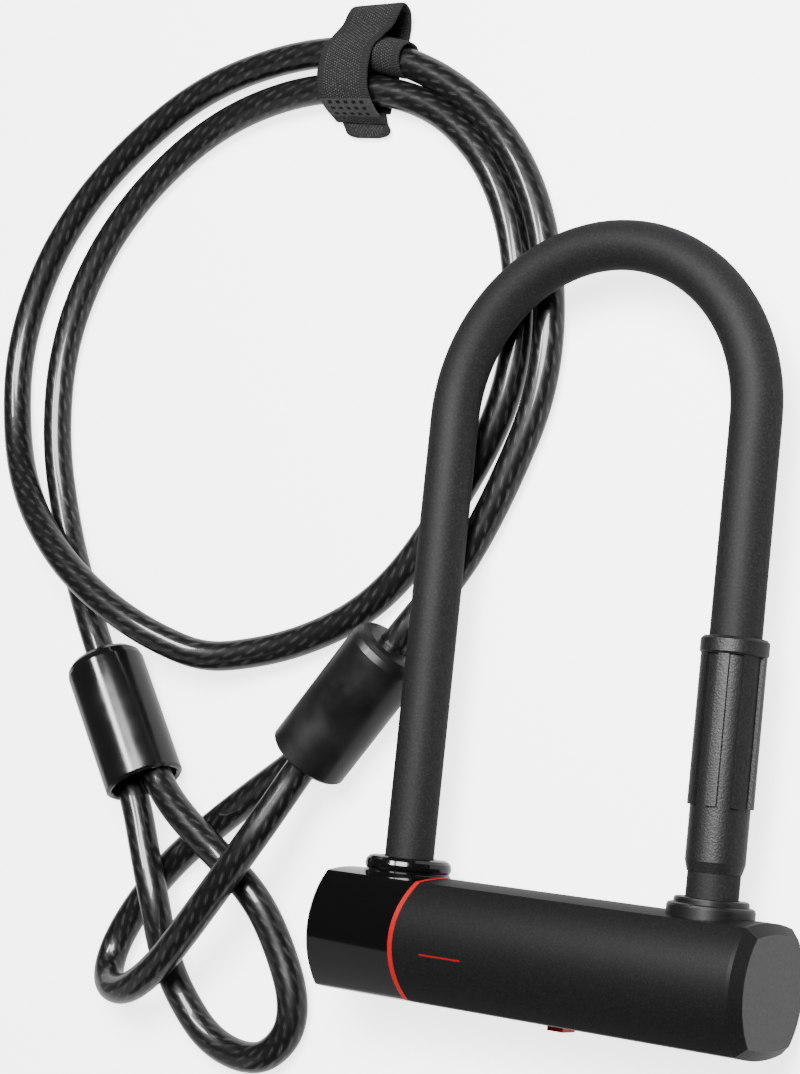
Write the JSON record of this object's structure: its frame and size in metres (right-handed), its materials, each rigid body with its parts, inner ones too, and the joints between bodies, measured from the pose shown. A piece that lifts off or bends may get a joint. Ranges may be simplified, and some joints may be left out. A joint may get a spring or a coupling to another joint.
{
  "type": "u lock with cable",
  "caption": "Shackle bicycle lock with a key-operated crossbar and a coiled loop-end security cable held by a woven strap.",
  "frame": {"origin": "on the resting surface, under the middle of the closed lock's box", "axes": "+X along the crossbar to its right end, +Y up the shackle's legs, +Z off the surface"},
  "size_m": [0.4101, 0.4259, 0.049],
  "materials": {
    "hardened_steel": "ground",
    "vinyl_jacket": "matte, fine orange peel",
    "sleeve_plastic": "fine grain",
    "tube_steel": "zinc plated",
    "satin_body": "fine spark-eroded grain",
    "red_accent": "smooth",
    "gloss_cap": "polished",
    "satin_cap": "satin",
    "gloss_collar": "polished",
    "satin_collar": "satin",
    "block_steel": "sintered",
    "bolt_steel": "ground",
    "pin_steel": "plain",
    "cylinder_brass": "turned",
    "barrel_brass": "turned",
    "disc_steel": "stamped",
    "red_shutter": "smooth",
    "gloss_ferrule": "polished",
    "satin_ferrule": "satin",
    "clamp_aluminium": "pressed",
    "cable_pvc": "clear black over braided steel",
    "woven_strap": "woven",
    "hook_strap": "hooked"
  },
  "bodies": {
    "crossbar": {"crossbar_tube": "tube_steel", "crossbar_cover": "satin_body", "accent_ring": "red_accent", "left_end_cap": "gloss_cap", "right_end_cap": "satin_cap", "left_collar": "gloss_collar", "right_collar": "satin_collar", "left_lock_block": "block_steel", "right_lock_block": "block_steel", "lock_block_pins": "pin_steel", "cylinder_body": "cylinder_brass", "cylinder_pin": "pin_steel"},
    "shackle": {"shackle_core": "hardened_steel", "shackle_jacket": "vinyl_jacket", "ribbed_leg_sleeve": "sleeve_plastic"},
    "barrel": {"key_barrel": "barrel_brass", "locking_discs": "disc_steel", "disc_spacers": "disc_steel", "sidebar": "disc_steel", "bolt_cam": "bolt_steel"},
    "bolt_l": {"left_bolt": "bolt_steel"},
    "bolt_r": {"right_bolt": "bolt_steel"},
    "shutter": {"keyhole_shutter": "red_shutter"},
    "cable": {"ferrule_a": "gloss_ferrule", "ferrule_b": "satin_ferrule", "clamp_a": "clamp_aluminium", "clamp_b": "clamp_aluminium", "cable_main": "cable_pvc", "cable_eye_a": "cable_pvc", "cable_eye_b": "cable_pvc", "strap_band": "woven_strap", "strap_pull_loop": "woven_strap", "strap_tail": "hook_strap"}
  },
  "joints": [
    {"name": "shackle_slide", "type": "slide", "parent": "crossbar", "child": "shackle", "axis": [0, 1, 0], "range_m": [0, 0.08]},
    {"name": "key_turn", "type": "hinge", "parent": "crossbar", "child": "barrel", "pos_m": [0.009, -0.13, 0.0245], "axis": [0, 1, 0], "range_deg": [0, 90]},
    {"name": "bolt_r_slide", "type": "slide", "parent": "crossbar", "child": "bolt_r", "axis": [1, 0, 0], "range_m": [0, 0.006]},
    {"name": "bolt_l_slide", "type": "slide", "parent": "crossbar", "child": "bolt_l", "axis": [-1, 0, 0], "range_m": [0, 0.006]},
    {"name": "shutter_slide", "type": "slide", "parent": "crossbar", "child": "shutter", "axis": [1, 0, 0], "range_m": [0, 0.013]},
    {"name": "cable_slide", "type": "slide", "parent": "crossbar", "child": "cable", "axis": [-1, 0, 0], "range_m": [0, 0.15]}
  ],
  "couplings": [
    {"joint": "key_turn", "follows": "bolt_l_slide", "rad_per_m": 261.79},
    {"joint": "bolt_r_slide", "follows": "bolt_l_slide", "ratio": 1}
  ]
}
